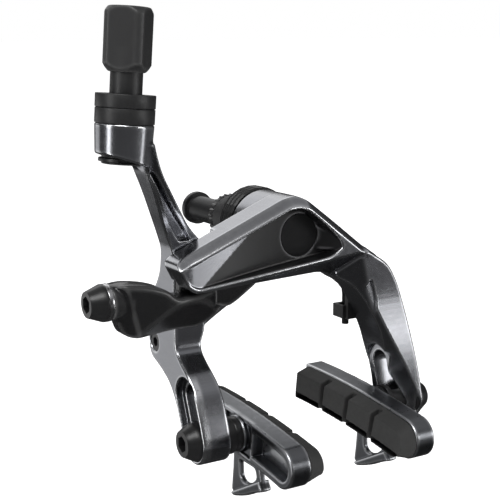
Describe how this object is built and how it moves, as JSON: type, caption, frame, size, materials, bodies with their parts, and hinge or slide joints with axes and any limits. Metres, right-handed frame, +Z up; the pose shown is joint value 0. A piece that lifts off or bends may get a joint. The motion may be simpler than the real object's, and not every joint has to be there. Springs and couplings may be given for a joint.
{
  "type": "rim brake caliper",
  "caption": "Bicycle rim brake caliper: two arms on one pivot bolt, closed by a link lever against a return spring, with slotted legs carrying cartridge brake pads.",
  "frame": {"origin": "on the pivot bolt's axis, at the toothed washer's rear face, which meets the fork crown", "axes": "+Y along the pivot bolt, back towards the fork; +X to the right seen from the front; +Z up"},
  "size_m": [0.1047, 0.0937, 0.1339],
  "materials": {
    "polished_grey": "polished, dark anodised",
    "dark_grey": "satin, bright edges",
    "black_gloss": "gloss black",
    "black_satin": "satin black",
    "black_steel": "black oxide, semi-gloss",
    "black_plastic": "matt black",
    "bright_steel": "turned",
    "light_grey": "satin",
    "rubber": "matt"
  },
  "bodies": {
    "pivot": {"mount_bolt": "black_steel", "toothed_washer": "black_steel", "spring_bush": "black_plastic", "return_spring": "black_steel", "thrust_washers": "bright_steel"},
    "nut": {"sleeve_nut": "black_steel"},
    "front_arm": {"front_arm": "polished_grey", "pivot_cap": "black_gloss", "spring_clip": "black_plastic", "spring_clip_screw": "black_steel", "link_pin": "bright_steel"},
    "rear_arm": {"rear_arm": "polished_grey", "centring_screw": "black_steel", "holder_collar": "black_satin"},
    "link": {"link_lever": "black_gloss", "drive_pin": "bright_steel"},
    "anchor": {"anchor_bolt": "black_steel", "anchor_washer": "bright_steel"},
    "release": {"release_ring": "black_satin", "release_lever": "light_grey"},
    "sleeve": {"cable_sleeve": "black_satin", "sleeve_clip": "black_steel"},
    "stem": {"adjuster_stem": "black_satin"},
    "knob": {"adjuster_knob": "black_satin"},
    "left_clamp": {"pad_bolt_left": "black_steel", "outer_washers_left": "black_steel", "inner_washers_left": "black_steel"},
    "left_pad": {"pad_holder_left": "dark_grey", "brake_pad_left": "rubber", "pad_screw_left": "black_steel"},
    "right_clamp": {"pad_bolt_right": "black_steel", "outer_washers_right": "black_steel", "inner_washers_right": "black_steel"},
    "right_pad": {"pad_holder_right": "dark_grey", "brake_pad_right": "rubber", "pad_screw_right": "black_steel"}
  },
  "joints": [
    {"name": "nut_unscrew", "type": "slide", "parent": "pivot", "child": "nut", "axis": [0, 1, 0], "range_m": [0, 0.036]},
    {"name": "front_close", "type": "hinge", "parent": "pivot", "child": "front_arm", "pos_m": [0, -0.04, 0], "axis": [0, 1, 0], "range_deg": [-1.6, 4.5], "stiffness_Nm_per_rad": 2, "springref_deg": -1.6},
    {"name": "rear_close", "type": "hinge", "parent": "pivot", "child": "rear_arm", "pos_m": [0, -0.027, 0], "axis": [0, -1, 0], "range_deg": [-1.6, 4.5], "stiffness_Nm_per_rad": 2, "springref_deg": -1.6},
    {"name": "link_swing", "type": "hinge", "parent": "front_arm", "child": "link", "pos_m": [-0.033, -0.0385, -0.0085], "axis": [0, 1, 0], "range_deg": [-2.8, 7.8]},
    {"name": "anchor_loosen", "type": "slide", "parent": "link", "child": "anchor", "axis": [-1, 0, 0], "range_m": [0, 0.002]},
    {"name": "release_turn", "type": "hinge", "parent": "rear_arm", "child": "release", "pos_m": [-0.05219, -0.041, 0.03486], "axis": [0.0785, 0, 0.9969], "range_deg": [0, 80]},
    {"name": "sleeve_drop", "type": "slide", "parent": "rear_arm", "child": "sleeve", "axis": [-0.0785, 0, -0.9969], "range_m": [0, 0.0035]},
    {"name": "stem_out", "type": "slide", "parent": "sleeve", "child": "stem", "axis": [0.0785, 0, 0.9969], "range_m": [-0.0012, 0.003]},
    {"name": "knob_turn", "type": "hinge", "parent": "stem", "child": "knob", "pos_m": [-0.0507, -0.041, 0.0538], "axis": [0.0785, 0, 0.9969], "range_deg": [-432, 1080]},
    {"name": "left_reach", "type": "slide", "parent": "rear_arm", "child": "left_clamp", "axis": [0, 0.3746, 0.9272], "range_m": [0, 0.0115]},
    {"name": "left_pad_tilt", "type": "hinge", "parent": "left_clamp", "child": "left_pad", "pos_m": [-0.024, -0.0457, -0.0518], "axis": [1, 0, 0], "range_deg": [-6, 6]},
    {"name": "right_reach", "type": "slide", "parent": "front_arm", "child": "right_clamp", "axis": [0, 0.2419, 0.9703], "range_m": [0, 0.0115]},
    {"name": "right_pad_tilt", "type": "hinge", "parent": "right_clamp", "child": "right_pad", "pos_m": [0.024, -0.0457, -0.0518], "axis": [1, 0, 0], "range_deg": [-6, 6]}
  ],
  "couplings": [
    {"joint": "rear_close", "follows": "front_close", "ratio": 1},
    {"joint": "link_swing", "follows": "front_close", "ratio": 1.72},
    {"joint": "release_turn", "follows": "sleeve_drop", "rad_per_m": 398.93},
    {"joint": "knob_turn", "follows": "stem_out", "rad_per_m": 6283.2}
  ]
}
